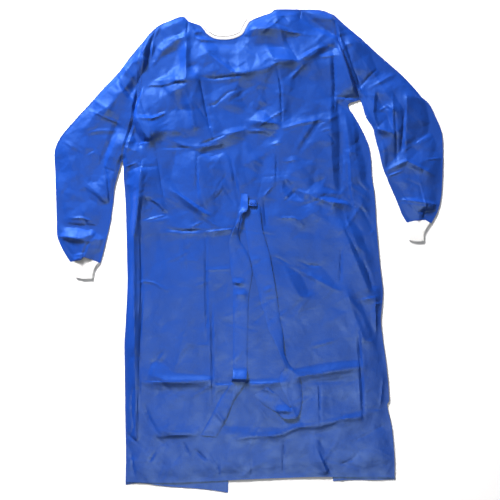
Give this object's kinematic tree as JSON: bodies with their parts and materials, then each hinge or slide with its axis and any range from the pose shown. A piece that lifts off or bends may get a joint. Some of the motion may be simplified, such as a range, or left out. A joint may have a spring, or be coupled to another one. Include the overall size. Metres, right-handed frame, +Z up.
{
  "type": "isolation gown",
  "caption": "Blue long-sleeved isolation gown laid flat, front side up, with white knit cuffs, white neck binding and a waist belt with loose tails.",
  "frame": {"origin": "centre of the gown's bounding box, on the surface that it lies on", "axes": "+Y from hem to neck, +X towards the sleeve at the right of the picture, +Z up out of the gown's front"},
  "size_m": [0.9899, 1.2324, 0.0155],
  "materials": {
    "gown_cloth": "royal blue coated nonwoven with a soft sheen, creased from being folded",
    "belt_cloth": "royal blue nonwoven strip, soft sheen",
    "cuff_knit": "white rib knit, matt",
    "neck_tape": "white binding tape, matt"
  },
  "bodies": {
    "root": {"front_panel": "gown_cloth", "back_panel_left": "gown_cloth", "back_panel_right": "gown_cloth", "sleeve_left": "gown_cloth", "sleeve_right": "gown_cloth", "cuff_left": "cuff_knit", "cuff_right": "cuff_knit", "neck_binding": "neck_tape", "belt_left": "belt_cloth", "belt_right": "belt_cloth", "belt_tack": "belt_cloth"}
  },
  "joints": []
}
